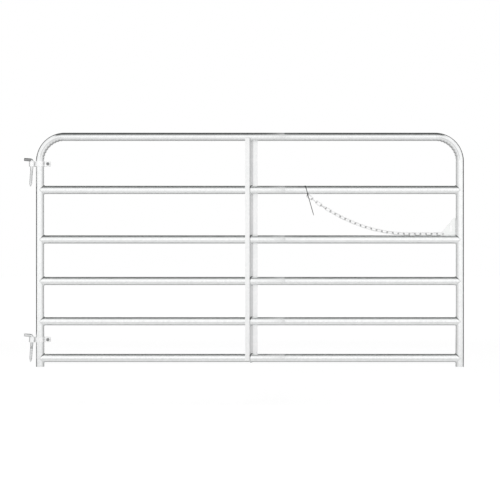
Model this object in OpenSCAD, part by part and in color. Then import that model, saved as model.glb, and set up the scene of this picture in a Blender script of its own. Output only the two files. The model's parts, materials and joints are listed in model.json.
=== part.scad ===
// Tubular steel field gate with strap hinges, screw hooks and a latch chain.
// Millimetres. The gate hangs in the XZ plane: +X runs from the hinge side to
// the latch side, +Y is the back and +Z is up. The Z axis is the hinge line,
// and z = 0 is where the thread of the lower screw hook starts.

/* [Gate] */
// Width over the two legs
gate_w = 2315; // [2000:5:3600]
// Height from the leg ends to the top of the top rail
gate_h = 1266; // [1100:1:1500]
// Height of the lowest rail's centre above the leg ends
foot_h = 47; // [35:1:120]

/* [Tube] */
// Outside diameter of the frame and rail tube
tube_d = 44.5; // [38:0.5:54]
// Wall of the tube
tube_wall = 1.7; // [1.2:0.1:3]
// Radius of the two top corners, to the tube's centre line
bend_r = 133; // [90:1:200]

/* [Z brace] */
// Width of each flange of the upright brace
brace_flange_w = 24; // [16:1:40]
// Sheet thickness of the brace
brace_t = 2.8; // [2:0.1:5]
// How far the web leans across from the front flange to the rear flange
brace_web_run = 20; // [8:1:40]
// How far the brace's middle lies past the middle of the gate
brace_shift = 8; // [-60:1:60]
// How far the flanges stop below the top rail's centre
brace_top_drop = 8; // [0:1:18]
// How far the flanges reach below the lowest rail's centre
brace_tail = 12; // [0:1:22]

/* [Strap hinges] */
// Thickness of the flat bar that the strap is bent from
strap_t = 5; // [3:0.5:7]
// Height of the strap
strap_h = 28; // [22:1:45]
// Bore of the eye
eye_bore_d = 22; // [20:0.5:30]
// Length of the two ears, from the wrap around the leg
ear_l = 32; // [28:1:50]
// Distance of the bolt hole from the end of the ears
ear_hole_in = 13; // [11:0.5:15]
// Gap between the two ears
ear_gap = 8; // [4:0.5:14]
// Gap between the bend of the corner and the upper strap
upper_hinge_gap = 0; // [0:1:60]
// Height of the lower eye above the lowest rail's centre
lower_hinge_rise = 100; // [60:1:110]

/* [Hinge bolts] */
// Diameter of the carriage bolts
bolt_d = 9.5; // [8:0.5:12]
// Diameter of the domed head
bolt_head_d = 20.5; // [18:0.5:26]
// Height of the domed head
bolt_head_h = 5.2; // [4:0.1:7]
// Width of the nut across its flats
nut_af = 14.3; // [14:0.1:19]
// Height of the nut
nut_h = 8.3; // [6:0.1:11]
// Outside diameter of the washer
washer_d = 20; // [18:0.5:26]
// Thickness of the washer
washer_t = 2; // [1.5:0.1:3]
// Length of bolt that stands out of the nut
bolt_end = 4; // [2:0.5:12]

/* [Screw hooks] */
// Diameter of the rod that the hooks are bent from
rod_d = 15.9; // [14:0.1:17]
// Length of the pin, from the shank's centre line to its end
pin_l = 44; // [34:1:60]
// Length of the shank, from the pin's centre line to its point
shank_l = 144; // [110:1:160]
// Diameter of the threaded end
thread_d = 15; // [12:0.1:16.9]
// Length of shank between the middle of the eye and the thread
thread_drop = 36; // [28:1:50]
// Length of the point
point_l = 16; // [12:1:30]
// How far the hook leans in the loose eye, in degrees
hook_lean = 4; // [0:0.5:6]

/* [Latch chain] */
// Wire diameter of the links
wire_d = 5; // [4:0.1:6]
// Inside length of a link
link_l = 30.3; // [26:0.1:34]
// Inside width of a link
link_w = 11; // [9.5:0.1:13]
// Links that lie along the rail from the gusset
lying_links = 6; // [4:1:8]
// Links between the rail and the tie
hanging_links = 20; // [18:1:22]

/* [Chain gusset] */
// Length of the gusset along the rail
gusset_w = 81; // [70:1:110]
// Height of the gusset along the leg
gusset_h = 94; // [75:1:120]
// Plate thickness of the gusset
gusset_t = 4; // [3:0.5:6]
// Width of the blunt tips
gusset_tip = 8; // [5:0.5:12]
// Distance of the chain hole from the tip on the rail
chain_hole_in = 14; // [12:0.5:24]
// Width of the chain slot
slot_w = 10; // [7:0.5:12]
// Length of the chain slot
slot_l = 36; // [25:1:38]
// Distance of the slot's centre line from the leg
slot_in = 24; // [18:1:27]
// Height of the slot's lower end above the rail
slot_rise = 20; // [14:1:22]

/* [Cable tie] */
// Width of the strap of the tie
tie_w = 3.6; // [2.5:0.1:4.8]
// Thickness of the strap of the tie
tie_t = 1.2; // [1:0.1:1.5]
// Length of the loose tail
tail_l = 112; // [40:1:130]
// How far the loop leans from square to the rail, in degrees
tie_lean = 16; // [8:1:20]

/* [Hidden] */
// Heights of the five rails, as shares of the way from the lowest rail to the top rail
rail_height_shares = [0, 0.166, 0.348, 0.536, 0.760];
RAILS = ["bottom_rail", "second_rail", "third_rail", "fourth_rail", "fifth_rail"];
lying_rail = 3;
tied_rail = 4;
// Gap left for the weld where a tube or plate meets a tube
weld_gap = 0.2;
// Play between pieces that rest on each other or turn in each other
seat_play = 0.3;
// Play around the bolts and in the rail holes of the brace
hole_play = 0.25;
// Where the strap is pinched behind the eye: clear length between the two bends, width over
// both sides of the bar, gap between them, and width of the gap where it opens into the bends
neck_l = 0.5;
neck_w = 11;
neck_gap = 1;
cusp_w = 6;
// How far into the bar's thickness the neck and the ears lap, as shares of it
neck_lap_share = 0.7;
ear_lap_share = 0.65;
// Corner radius of the ears
ear_corner_r = 6;
// End of the hook's point, and the bevel at the end of its pin
point_d = 2.5;
pin_bevel = 1.5;
// Roll of a link that lies in the groove between its neighbours, and how many links the chain
// takes near its end to twist square to the tie
link_roll = 45;
twist_links = 5;
// Size of the head of the tie, and inside radius of its loop around the link
tie_head = [5.6, 4.6, 6.4];
tie_nose_r = 3.4;
// How far every cutting shape runs past what it cuts
overrun = 1;
$fn = 48;

tube_r = tube_d / 2;
chain_n = lying_links + hanging_links;
function two_digits(k) = str(k < 10 ? "0" : "", k);
function link_name(k) = str("chain_link_", two_digits(k + 1));
LINKS = [for (k = [0 : chain_n - 1]) link_name(k)];

// Strap: outside of the eye, inside and outside of the wrap around the leg, neck and ears
eye_out_r = eye_bore_d / 2 + strap_t;
wrap_in_r = tube_r + weld_gap;
wrap_out_r = wrap_in_r + strap_t;
neck_x = eye_out_r + neck_l / 2;
hinge_leg_x = eye_out_r + neck_l + wrap_out_r;
ear_x = hinge_leg_x + wrap_out_r - ear_lap_share * strap_t;
bolt_x = ear_x + ear_l - ear_hole_in;
ear_out = ear_gap / 2 + strap_t;

// Main places of the gate
latch_leg_x = hinge_leg_x + gate_w - tube_d;
brace_x = (hinge_leg_x + latch_leg_x) / 2 + brace_shift;
lower_eye_z = thread_drop;
bottom_rail_z = lower_eye_z - lower_hinge_rise;
ground_z = bottom_rail_z - foot_h;
top_rail_z = ground_z + gate_h - tube_r;
upper_eye_z = top_rail_z - bend_r - upper_hinge_gap - strap_h / 2;
function rail_z(i) = bottom_rail_z + rail_height_shares[i] * (top_rail_z - bottom_rail_z);

// Link sizes, and the line that the middles of the links follow: from the hole in the gusset
// flat along the rail, then a catenary from the rail up to the tie
pitch = link_l - seat_play;
link_mid_r = (link_w + wire_d) / 2;
link_straight = link_l - link_w;
lying_h = link_mid_r * cos(link_roll)
    + sqrt(pow(tube_r + wire_d / 2 + seat_play, 2) - pow(link_mid_r * sin(link_roll), 2));
chain_z = rail_z(lying_rail) + lying_h;
chain_hole_x = latch_leg_x - tube_r - gusset_w + chain_hole_in;
chain_hole_d = wire_d / cos(link_roll) + gusset_t * tan(link_roll) + 4 * seat_play;
lift_x = chain_hole_x - link_straight / 2 - link_mid_r - (lying_links - 0.5) * pitch;
end_s = (hanging_links - 0.5) * pitch + link_straight / 2;
end_rise = rail_z(tied_rail) - tube_r - link_mid_r - wire_d / 2 - seat_play - chain_z;
sag_a = (pow(end_s, 2) - pow(end_rise, 2)) / (2 * end_rise);
function chain_x(s) = s <= 0 ? lift_x - s : lift_x - sag_a * ln(s / sag_a + sqrt(1 + pow(s / sag_a, 2)));
function chain_h(s) = s <= 0 ? chain_z : chain_z + sqrt(pow(s, 2) + pow(sag_a, 2)) - sag_a;
function chain_slope(s) = s <= 0 ? 0 : atan(s / sag_a);
function link_s(k) = (k + 0.5 - lying_links) * pitch;
function link_twist(k) = link_roll * min(1, max(0, k + 2 + twist_links - chain_n) / twist_links);

// Where the tie passes through the last link
tie_reach = link_straight / 2 + link_mid_r - wire_d / 2 - tie_w / 2 - seat_play;
last_s = link_s(chain_n - 1);
grip_x = chain_x(last_s) - tie_reach * cos(chain_slope(last_s));
grip_z = chain_h(last_s) + tie_reach * sin(chain_slope(last_s));
grip_v = (grip_z - rail_z(tied_rail)) / cos(tie_lean);
tie_x = grip_x + grip_v * sin(tie_lean);

// Solid line of the bent outer tube at a given radius, run past the leg ends
module frame_line(r, past) {
    top_x = hinge_leg_x + bend_r;
    bend_z = top_rail_z - bend_r;
    for (x = [hinge_leg_x, latch_leg_x])
        translate([x, 0, ground_z - past]) cylinder(r = r, h = bend_z - ground_z + past);
    translate([top_x, 0, top_rail_z]) rotate([0, 90, 0])
        cylinder(r = r, h = latch_leg_x - bend_r - top_x);
    for (corner = [[top_x, 90], [latch_leg_x - bend_r, 0]])
        translate([corner[0], 0, bend_z]) rotate([90, 0, 0]) rotate(corner[1])
            rotate_extrude(angle = 90) translate([bend_r, 0]) circle(r = r);
}

// The top rail and both legs are one tube, bent at the two top corners
module outer_frame_tube() {
    color("gainsboro") difference() {
        frame_line(tube_r, 0);
        frame_line(tube_r - tube_wall, overrun);
    }
}

// A straight tube between the legs, its ends coped to fit around them
module rail(i) {
    span = latch_leg_x - hinge_leg_x;
    color("gainsboro") difference() {
        translate([hinge_leg_x, 0, rail_z(i)]) rotate([0, 90, 0]) cylinder(r = tube_r, h = span);
        translate([hinge_leg_x - overrun, 0, rail_z(i)]) rotate([0, 90, 0])
            cylinder(r = tube_r - tube_wall, h = span + 2 * overrun);
        for (x = [hinge_leg_x, latch_leg_x])
            translate([x, 0, rail_z(i) - tube_d]) cylinder(r = tube_r + weld_gap, h = 2 * tube_d);
    }
}

// Upright of Z section: a front and a rear flange on a leaning web that the rails pass through
module z_brace() {
    inside = tube_d + hole_play;
    run = brace_web_run / (inside + brace_t);
    lap = brace_t * sqrt(1 + pow(run, 2));
    half = brace_web_run / 2;
    low_z = bottom_rail_z - brace_tail;
    color("whitesmoke") difference() {
        translate([brace_x, 0, low_z])
            linear_extrude(height = top_rail_z - brace_top_drop - low_z)
            polygon([
                [-half - brace_flange_w, -inside / 2 - brace_t],
                [-half, -inside / 2 - brace_t],
                [half, inside / 2],
                [half + brace_flange_w, inside / 2],
                [half + brace_flange_w, inside / 2 + brace_t],
                [half + run * brace_t - lap, inside / 2 + brace_t],
                [-half + run * brace_t - lap, -inside / 2],
                [-half - brace_flange_w, -inside / 2]]);
        for (z = concat([for (i = [0 : len(RAILS) - 1]) rail_z(i)], [top_rail_z]))
            translate([brace_x - half - brace_flange_w - overrun, 0, z]) rotate([0, 90, 0])
                cylinder(r = tube_r + hole_play, h = 2 * (half + brace_flange_w + overrun));
    }
}

// Triangular plate in the corner of the leg and the rail, with a hole that the chain hangs in
// and a slot that its free end is hooked into
module chain_gusset() {
    z = rail_z(lying_rail);
    color("whitesmoke") difference() {
        translate([latch_leg_x, gusset_t / 2, z]) rotate([90, 0, 0])
            linear_extrude(height = gusset_t)
            polygon([
                [0, 0],
                [-tube_r - gusset_w, 0],
                [-tube_r - gusset_w, tube_r + gusset_tip],
                [-tube_r - gusset_tip, tube_r + gusset_h],
                [0, tube_r + gusset_h]]);
        translate([latch_leg_x, 0, z - overrun])
            cylinder(r = tube_r + weld_gap, h = tube_r + gusset_h + 2 * overrun);
        translate([latch_leg_x - tube_d - gusset_w, 0, z]) rotate([0, 90, 0])
            cylinder(r = tube_r + weld_gap, h = tube_d + gusset_w + overrun);
        translate([latch_leg_x - tube_r - slot_in, gusset_t, z + tube_r + slot_rise]) slot_cut();
        translate([chain_hole_x, gusset_t, chain_z]) rotate([90, 0, 0])
            cylinder(d = chain_hole_d, h = 2 * gusset_t);
    }
}

// Round-ended upright slot, cut from the back to the front
module slot_cut() {
    depth = 2 * gusset_t;
    rotate([90, 0, 0]) {
        for (h = [slot_w / 2, slot_l - slot_w / 2])
            translate([0, h, 0]) cylinder(d = slot_w, h = depth);
        translate([-slot_w / 2, slot_w / 2, 0]) cube([slot_w, slot_l - slot_w, depth]);
    }
}

// Flat ear with two rounded corners, standing on its inner face
module ear_plate() {
    rotate([90, 0, 0]) linear_extrude(height = strap_t) {
        translate([0, -strap_h / 2]) square([ear_l - ear_corner_r, strap_h]);
        translate([0, -strap_h / 2 + ear_corner_r]) square([ear_l, strap_h - 2 * ear_corner_r]);
        for (side = [-1, 1])
            translate([ear_l - ear_corner_r, side * (strap_h / 2 - ear_corner_r)]) circle(r = ear_corner_r);
    }
}

// Gap between the two sides of the bar, tight at the pinch and open into the eye and the wrap
module neck_slit() {
    eye_x = neck_x - eye_out_r + strap_t;
    leg_x = hinge_leg_x - wrap_in_r + overrun;
    linear_extrude(height = strap_h + 2 * overrun, center = true)
        polygon([
            [eye_x, -cusp_w / 2], [neck_x, -neck_gap / 2], [leg_x, -cusp_w / 2],
            [leg_x, cusp_w / 2], [neck_x, neck_gap / 2], [eye_x, cusp_w / 2]]);
}

// One flat bar, folded round the hook into an eye, pinched behind it, opened round the leg
// and drawn together by a bolt through its two ears
module hinge_strap(eye_z) {
    neck_half = neck_l / 2 + neck_lap_share * strap_t;
    tall = strap_h + 2 * overrun;
    color("gainsboro") translate([0, 0, eye_z]) difference() {
        union() {
            cylinder(r = eye_out_r, h = strap_h, center = true);
            translate([hinge_leg_x, 0, 0]) cylinder(r = wrap_out_r, h = strap_h, center = true);
            translate([neck_x, 0, 0]) cube([2 * neck_half, neck_w, strap_h], center = true);
            translate([ear_x, ear_out, 0]) ear_plate();
            translate([ear_x, -ear_gap / 2, 0]) ear_plate();
        }
        cylinder(d = eye_bore_d, h = tall, center = true);
        translate([hinge_leg_x, 0, 0]) cylinder(r = wrap_in_r, h = tall, center = true);
        neck_slit();
        translate([hinge_leg_x, -ear_gap / 2, -tall / 2]) cube([wrap_out_r + overrun, ear_gap, tall]);
        translate([bolt_x, ear_out + overrun, 0]) rotate([90, 0, 0])
            cylinder(d = bolt_d + 2 * hole_play, h = 2 * (ear_out + overrun));
        translate([bolt_x, ear_out + overrun, 0]) rotate([90, 0, 0])
            square_bar(bolt_d + 2 * hole_play, strap_t + 2 * overrun);
    }
}

module square_bar(side, l) {
    translate([-side / 2, -side / 2, 0]) cube([side, side, l]);
}

// Carriage bolt: domed head and square neck at the back, round shank to the front
module hinge_bolt(eye_z) {
    dome_r = (pow(bolt_head_d / 2, 2) + pow(bolt_head_h, 2)) / (2 * bolt_head_h);
    shank = 2 * ear_out + washer_t + nut_h + bolt_end;
    color("silver") translate([bolt_x, ear_out, eye_z]) rotate([90, 0, 0]) {
        intersection() {
            translate([0, 0, dome_r - bolt_head_h]) sphere(r = dome_r);
            translate([0, 0, -bolt_head_h - overrun])
                cylinder(d = bolt_head_d + overrun, h = bolt_head_h + overrun);
        }
        square_bar(bolt_d, strap_t);
        cylinder(d = bolt_d, h = shank);
    }
}

module hinge_washer(eye_z) {
    color("silver") translate([bolt_x, -ear_out, eye_z]) rotate([90, 0, 0]) difference() {
        cylinder(d = washer_d, h = washer_t);
        translate([0, 0, -overrun]) cylinder(d = bolt_d + 2 * hole_play, h = washer_t + 2 * overrun);
    }
}

module hinge_nut(eye_z) {
    color("silver") translate([bolt_x, -ear_out - washer_t, eye_z]) rotate([90, 0, 0]) difference() {
        cylinder(d = nut_af / cos(30), h = nut_h, $fn = 6);
        translate([0, 0, -overrun]) cylinder(d = bolt_d + hole_play, h = nut_h + 2 * overrun);
    }
}

// Right-angled hook hung in the eye by its pin, which rests on the rim of the eye:
// a bevelled pin, the bend, and a plain shank that narrows to a threaded end and a point
module screw_hook(eye_z) {
    turn_r = eye_bore_d / 2;
    rod_r = rod_d / 2;
    rim_h = strap_h / 2 * cos(hook_lean) - eye_bore_d / 2 * sin(hook_lean);
    pin_h = rim_h + seat_play + rod_r;
    thread_z = -pin_h - thread_drop;
    plain_z = thread_z + rod_r - thread_d / 2;
    color("silver") translate([0, 0, eye_z]) rotate([0, hook_lean, 0]) translate([0, 0, pin_h]) {
        translate([-turn_r, 0, 0]) rotate([0, -90, 0]) rotate_extrude()
            polygon([
                [0, 0], [rod_r, 0], [rod_r, pin_l - turn_r - pin_bevel],
                [rod_r - pin_bevel, pin_l - turn_r], [0, pin_l - turn_r]]);
        translate([-turn_r, 0, -turn_r]) rotate([90, 0, 0])
            rotate_extrude(angle = 90) translate([turn_r, 0]) circle(r = rod_r);
        rotate_extrude()
            polygon([
                [0, -turn_r], [rod_r, -turn_r], [rod_r, plain_z], [thread_d / 2, thread_z],
                [thread_d / 2, point_l - shank_l], [point_d / 2, -shank_l], [0, -shank_l]]);
    }
}

// One welded link: two half rings joined by two straight runs, lying flat along X
module link_shape() {
    for (side = [-1, 1]) {
        translate([side * link_straight / 2, 0, 0]) rotate(side * 90 - 180)
            rotate_extrude(angle = 180) translate([link_mid_r, 0]) circle(d = wire_d);
        translate([-link_straight / 2, side * link_mid_r, 0]) rotate([0, 90, 0])
            cylinder(d = wire_d, h = link_straight);
    }
}

// Link number k, counted from the gusset, turned the other way from its neighbours
module chain_link(k) {
    s = link_s(k);
    roll = link_twist(k) + (k % 2 == 0 ? -link_roll : link_roll);
    color("lightgray") translate([chain_x(s), 0, chain_h(s)])
        rotate([0, chain_slope(s), 0]) rotate([roll, 0, 0]) link_shape();
}

// Outline of the tie's loop around the rail and the wire of the last link
module loop_outline(past) {
    nose = grip_v + tie_t / 2 + tie_nose_r;
    around_r = (tube_r + seat_play) / cos(tie_lean) + tie_w / 2 * tan(tie_lean);
    hull() {
        circle(r = around_r + past);
        translate([0, nose]) circle(r = tie_nose_r + past, $fn = 32);
    }
}

// Cable tie that holds the end of the chain to the rail, with its head and loose tail in front
module cable_tie() {
    head_y = -tube_r / 2;
    head_v = grip_v + tie_head[2] / 2;
    color("black") translate([tie_x, 0, rail_z(tied_rail)]) rotate([0, -tie_lean, 0]) {
        rotate([90, 0, 90]) linear_extrude(height = tie_w, center = true) difference() {
            loop_outline(tie_t);
            loop_outline(0);
        }
        translate([-tie_head[0] / 2, head_y - tie_head[1] / 2, head_v - tie_head[2] / 2]) cube(tie_head);
        translate([-tie_w / 2, head_y - tie_t / 2, head_v - tie_head[2] / 2 - tail_l])
            cube([tie_w, tie_t, tail_l + tie_head[2] / 2]);
    }
}

outer_frame_tube();
for (i = [0 : len(RAILS) - 1])
    rail(i);
z_brace();
chain_gusset();
hinge_strap(upper_eye_z);  // upper_hinge_strap
hinge_bolt(upper_eye_z);  // upper_hinge_bolt
hinge_washer(upper_eye_z);  // upper_hinge_washer
hinge_nut(upper_eye_z);  // upper_hinge_nut
hinge_strap(lower_eye_z);  // lower_hinge_strap
hinge_bolt(lower_eye_z);  // lower_hinge_bolt
hinge_washer(lower_eye_z);  // lower_hinge_washer
hinge_nut(lower_eye_z);  // lower_hinge_nut
screw_hook(upper_eye_z);  // upper_screw_hook
screw_hook(lower_eye_z);  // lower_screw_hook
cable_tie();
for (k = [0 : chain_n - 1])
    chain_link(k);
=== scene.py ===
# %% [markdown]
# A tubular field gate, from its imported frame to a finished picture.
#
# The construction is already made and stays where it is. Each lesson below takes one piece
# or one finish of the real gate, says how it is made in a workshop, and then makes it in
# Blender in much the same way: bars are bent with spins, tubes are drawn with extrusions,
# and weld beads are small rings that follow the seam.

# %% Load the frame
import json
import math

import bmesh
import bpy
from mathutils import Matrix, Vector


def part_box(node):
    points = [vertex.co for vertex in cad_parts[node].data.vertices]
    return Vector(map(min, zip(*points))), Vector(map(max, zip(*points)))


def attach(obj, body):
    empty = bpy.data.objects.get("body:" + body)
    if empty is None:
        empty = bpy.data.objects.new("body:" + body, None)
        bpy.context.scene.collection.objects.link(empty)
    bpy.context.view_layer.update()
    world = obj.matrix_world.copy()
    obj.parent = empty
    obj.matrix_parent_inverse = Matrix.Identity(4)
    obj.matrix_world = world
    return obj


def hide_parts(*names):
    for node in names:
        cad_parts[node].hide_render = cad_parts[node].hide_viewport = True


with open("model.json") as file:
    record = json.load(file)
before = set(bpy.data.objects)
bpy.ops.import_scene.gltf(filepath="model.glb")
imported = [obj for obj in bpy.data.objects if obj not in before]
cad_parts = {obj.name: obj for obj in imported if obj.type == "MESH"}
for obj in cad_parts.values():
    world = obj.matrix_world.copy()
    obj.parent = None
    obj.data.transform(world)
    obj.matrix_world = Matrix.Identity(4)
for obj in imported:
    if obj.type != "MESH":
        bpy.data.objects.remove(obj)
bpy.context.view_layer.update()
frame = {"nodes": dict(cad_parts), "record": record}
nodes = frame["nodes"]
MM = 0.001

# %% [markdown]
# New pieces aren't placed by eye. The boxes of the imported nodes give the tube's radius, the two
# leg lines, the rail heights and the hinge line. What a box can't give, such as the thickness
# of a bar, is written where it is first needed, with the value that the construction has.

# %% Read the main places from the frame
tube_low, tube_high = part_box("outer_frame_tube")
tube_r = (tube_high.y - tube_low.y) / 2
hinge_leg_x = tube_low.x + tube_r
latch_leg_x = tube_high.x - tube_r
foot_z = tube_low.z
top_rail_z = tube_high.z - tube_r
RAILS = ["bottom_rail", "second_rail", "third_rail", "fourth_rail", "fifth_rail"]


def middle(node):
    low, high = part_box(node)
    return (low + high) / 2


rail_z = [middle(name).z for name in RAILS]
eye_z = {"lower": middle("lower_hinge_strap").z, "upper": middle("upper_hinge_strap").z}
print("tube radius", round(tube_r, 5), "legs at", round(hinge_leg_x, 4), round(latch_leg_x, 4))

# %% [markdown]
# The photograph looks at the gate square on, from far enough away that the legs stay
# parallel. A long lens at six metres gives that. The aim point is the middle of the picture.

# %% Camera
CAMERA_FAR = 6.015
CAMERA_LENS = 80.0
AIM_X = 1.1797
AIM_Z = 0.5203

camera = bpy.data.objects.new("camera", bpy.data.cameras.new("camera"))
camera.data.lens = CAMERA_LENS
camera.location = (AIM_X, -CAMERA_FAR, AIM_Z)
camera.rotation_euler = (math.radians(90), 0, 0)
bpy.context.scene.collection.objects.link(camera)
bpy.context.scene.camera = camera
print("camera sees", round(CAMERA_FAR * camera.data.sensor_width / CAMERA_LENS, 3), "m at the gate")

# %% [markdown]
# A few small helpers serve every finish. Colours are written as the hex values that a paint
# program shows, and the shader wants them linear. Nodes are added one at a time, with their
# settings and links given in the same line.

# %% Helpers for the finishes


def colour(hex_value):
    parts = [int(hex_value[i:i + 2], 16) / 255 for i in (1, 3, 5)]
    linear = [c / 12.92 if c <= 0.04045 else ((c + 0.055) / 1.055) ** 2.4 for c in parts]
    return (*linear, 1.0)


def add(tree, kind, links=None, values=None, **settings):
    made = tree.nodes.new(kind)
    for name, value in settings.items():
        setattr(made, name, value)
    for name, value in (values or {}).items():
        made.inputs[name].default_value = value
    for name, source in (links or {}).items():
        tree.links.new(source, made.inputs[name])
    return made


def new_material(name):
    made = bpy.data.materials.new(name)
    made.use_nodes = True
    return made, made.node_tree, made.node_tree.nodes["Principled BSDF"]


print("the grey #808080 is", round(colour("#808080")[0], 3), "in linear light")

# %% [markdown]
# Hot-dip galvanised steel is a skin of frozen zinc. It freezes in flat crystals, the spangle,
# each a slightly different grey and each tilted a little, so the sheen breaks up into patches.
# A Voronoi texture gives one value per crystal: it shifts the grey and the roughness, and a
# soft noise over it gives the runs and the cloudy bloom that the bath leaves. A typical
# spangle on tube is 5 to 15 mm across. It is drawn large enough to be seen in the picture.
# Some places of the gate look darker in the photograph, such as the inside of the bends. How
# dark they are is painted on the piece itself, as an attribute of its points.

# %% Galvanised finish
CRYSTAL_SCATTER = 0.9
BLOOM_SPANGLES = 14
BLOOM_SHARE = 0.55
SHADE_FROM = 0.25
SHADE_TO = 0.75
GLOSS_FROM = 0.2
GLOSS_TO = 0.8
GRAIN_DEPTH = 0.4 * MM


def galvanised(name, dark, light, spangle_mm, rough, rough_spread, grain_mm, dent, marks=None, metal=1.0):
    made, tree, shader = new_material(name)
    place = add(tree, "ShaderNodeTexCoord").outputs["Object"]
    crystals = add(tree, "ShaderNodeTexVoronoi", {"Vector": place},
                   {"Scale": 1 / (spangle_mm * MM), "Randomness": CRYSTAL_SCATTER}, feature="F1")
    bloom = add(tree, "ShaderNodeTexNoise", {"Vector": place},
                {"Scale": 1 / (BLOOM_SPANGLES * spangle_mm * MM), "Detail": 4.0, "Roughness": 0.55})
    grain = add(tree, "ShaderNodeTexNoise", {"Vector": place},
                {"Scale": 1 / (grain_mm * MM), "Detail": 3.0, "Roughness": 0.6})
    patch = add(tree, "ShaderNodeSeparateColor", {"Color": crystals.outputs["Color"]})
    tone = add(tree, "ShaderNodeMix", {"A": patch.outputs["Red"], "B": bloom.outputs["Fac"]},
               {"Factor": BLOOM_SHARE})
    shade = add(tree, "ShaderNodeValToRGB", {"Fac": tone.outputs["Result"]})
    shade.color_ramp.elements[0].position = SHADE_FROM
    shade.color_ramp.elements[0].color = colour(dark)
    shade.color_ramp.elements[1].position = SHADE_TO
    shade.color_ramp.elements[1].color = colour(light)
    gloss = add(tree, "ShaderNodeMapRange", {"Value": tone.outputs["Result"]},
                {"From Min": GLOSS_FROM, "From Max": GLOSS_TO, "To Min": rough - rough_spread,
                 "To Max": rough + rough_spread})
    bump = add(tree, "ShaderNodeBump", {"Height": grain.outputs["Fac"]},
               {"Strength": dent, "Distance": GRAIN_DEPTH})
    skin = shade.outputs["Color"]
    if marks:
        painted = add(tree, "ShaderNodeAttribute", attribute_name="darkened")
        marked = add(tree, "ShaderNodeMix", {0: painted.outputs["Fac"], 6: skin}, {7: colour(marks)},
                     data_type="RGBA")
        skin = marked.outputs[2]
    shader.inputs["Metallic"].default_value = metal
    tree.links.new(skin, shader.inputs["Base Color"])
    tree.links.new(gloss.outputs["Result"], shader.inputs["Roughness"])
    tree.links.new(bump.outputs["Normal"], shader.inputs["Normal"])
    return made


print("the bloom of the zinc is", BLOOM_SPANGLES, "crystals wide")

# %% [markdown]
# The zinc isn't alike on every piece. Each row gives the darker and the lighter grey of the
# spangle, its size in millimetres, the roughness and how far that spreads, the size of the
# grain in millimetres and how strongly it dents the sheen. Where a piece has dark marks, their
# grey follows. Straps and chain look dull and white in the photograph, so they end with a
# lower share of metal.

# %% The zinc of each piece
ZINC = {
    # Roll-formed tube, drawn bright through the zinc bath: smooth, pale, long soft reflections.
    "galvanised_tube": ("#F5F6F6", "#FCFDFD", 11, 0.2, 0.02, 40, 0.01),
    # The same tube after bending: inside the bends it is creased and painted darker, with painted shade in
    # the creases.
    "bent_tube": ("#F2F3F3", "#F9FAFA", 11, 0.2, 0.02, 40, 0.01, "#C4C4C4"),
    # Pre-galvanised sheet: flat and satin, for the brace.
    "galvanised_sheet": ("#F0F1F1", "#F8F8F8", 15, 0.32, 0.03, 40, 0.02),
    # Thicker plate, dipped after cutting: a little greyer and duller than the sheet.
    "dipped_plate": ("#EEF0EF", "#F6F7F6", 12, 0.4, 0.04, 20, 0.03),
    # Hot-dipped flat bar and rod: thicker zinc, dull, with small runs and lumps.
    # The strap's last grey is painted shade in the pinch at the neck.
    "galvanised_strap": ("#F7F8F8", "#FEFEFE", 8, 0.32, 0.05, 6, 0.06, "#707070", 0.65),
    # The hooks' last grey is painted shade on the pins and a darker mark on the lower thread.
    "galvanised_hooks": ("#E2E3E3", "#F0F1F1", 7, 0.28, 0.05, 5, 0.08, "#6C6C6C"),
    # Plated nuts and bolts: a darker grey than the rest of the zinc.
    "zinc_fasteners": ("#808181", "#9C9D9D", 6, 0.26, 0.05, 2, 0.06),
    # Plated washers and chain: thin, even and white.
    "zinc_washers": ("#DADBDB", "#EAEBEB", 6, 0.3, 0.05, 2, 0.06),
    # The chain's last grey is painted shade at the joints of the links.
    "zinc_chain": ("#F8F8F8", "#FEFEFE", 6, 0.5, 0.05, 3, 0.05, "#C6C6C6", 0.3),
    # Weld metal under the same bath of zinc: bright, with the small ripples of the beads.
    # Its last grey is a painted reflection of the dark ceiling, on the upper side of the beads.
    "weld_metal": ("#E8E9E9", "#F4F5F5", 4, 0.24, 0.05, 2, 0.12, "#606261"),
}
FINISHES = {name: galvanised(name, *look) for name, look in ZINC.items()}
print("finishes:", ", ".join(FINISHES))

# %% [markdown]
# The tie is moulded nylon 6.6: nearly black, with the satin skin of a polished mould. Its IOR
# is that of nylon, and a fine noise keeps the skin from looking like glass. With it the set of
# finishes is complete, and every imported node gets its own.

# %% Black nylon, and a finish for every node
NYLON_GRAIN = 1.5 * MM
NYLON_DENT = 0.15
NYLON_DEPTH = 0.2 * MM
NYLON_IOR = 1.53
NYLON_ROUGH = 0.42


def black_nylon():
    made, tree, shader = new_material("black_nylon")
    place = add(tree, "ShaderNodeTexCoord").outputs["Object"]
    skin = add(tree, "ShaderNodeTexNoise", {"Vector": place}, {"Scale": 1 / NYLON_GRAIN, "Detail": 2.0})
    shade = add(tree, "ShaderNodeValToRGB", {"Fac": skin.outputs["Fac"]})
    shade.color_ramp.elements[0].color = colour("#0E0E0F")
    shade.color_ramp.elements[1].color = colour("#1B1B1D")
    bump = add(tree, "ShaderNodeBump", {"Height": skin.outputs["Fac"]},
               {"Strength": NYLON_DENT, "Distance": NYLON_DEPTH})
    shader.inputs["IOR"].default_value = NYLON_IOR
    shader.inputs["Roughness"].default_value = NYLON_ROUGH
    tree.links.new(shade.outputs["Color"], shader.inputs["Base Color"])
    tree.links.new(bump.outputs["Normal"], shader.inputs["Normal"])
    return made


FINISHES["black_nylon"] = black_nylon()
for name, node in nodes.items():
    slot_name = next(s["material_slot"] for s in frame["record"]["subparts"] if s["node"] == name)
    node.material_slots[0].material = FINISHES[slot_name]
nodes["chain_gusset"].material_slots[0].material = FINISHES["dipped_plate"]
for which in eye_z:
    nodes[which + "_hinge_washer"].material_slots[0].material = FINISHES["zinc_washers"]
print("every packed node has its finish")

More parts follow.
